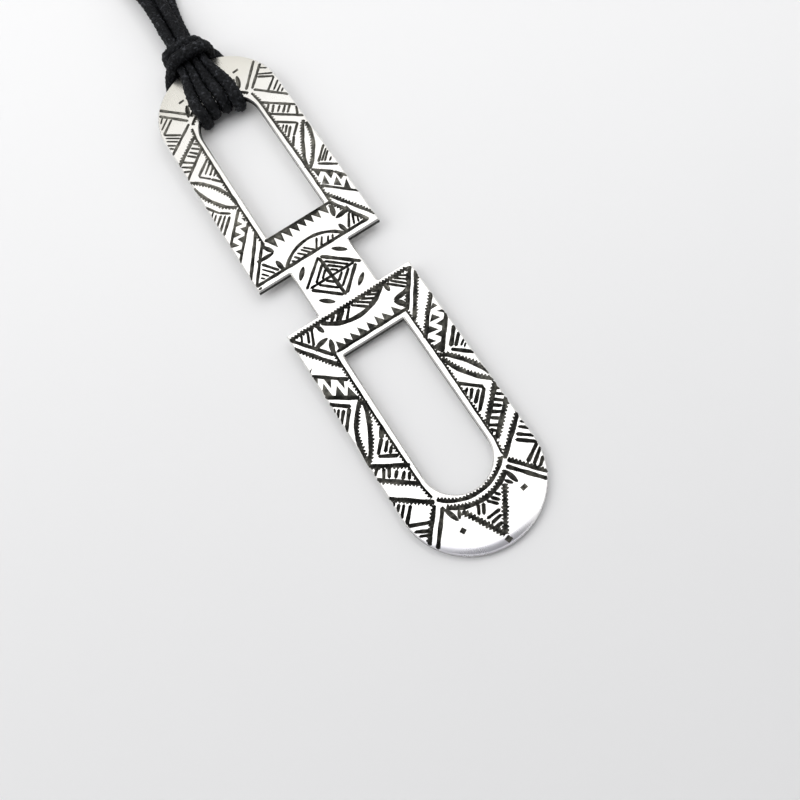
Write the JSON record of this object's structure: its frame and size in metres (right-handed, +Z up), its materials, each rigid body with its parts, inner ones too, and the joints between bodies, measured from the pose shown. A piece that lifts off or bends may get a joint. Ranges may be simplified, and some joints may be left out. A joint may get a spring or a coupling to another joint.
{
  "type": "tuareg necklace",
  "caption": "Flat engraved silver pendant of two openwork arches end to end, hung by a lark's head hitch from a doubled black waxed cord closed as a neck loop.",
  "frame": {"origin": "on the surface that the necklace lies on, below the middle of the neck that joins the two arches of the silver plate", "axes": "+X across the pendant, +Y along the pendant towards the hitch and the neck loop, +Z up out of the surface, on the engraved side"},
  "size_m": [0.1538, 0.394, 0.0071],
  "materials": {
    "silver": "hand-polished silver with soft scratches, engraved cuts darkened by patina",
    "waxed_cord": "black waxed cotton cord, fine braid, matt with a faint wax sheen"
  },
  "bodies": {
    "root": {"silver_plate": "silver", "near_cord_hitch": "waxed_cord", "far_cord_hitch": "waxed_cord", "near_cord_left": "waxed_cord", "near_cord_right": "waxed_cord", "far_cord_left": "waxed_cord", "far_cord_right": "waxed_cord", "back_knot": "waxed_cord"}
  },
  "joints": []
}
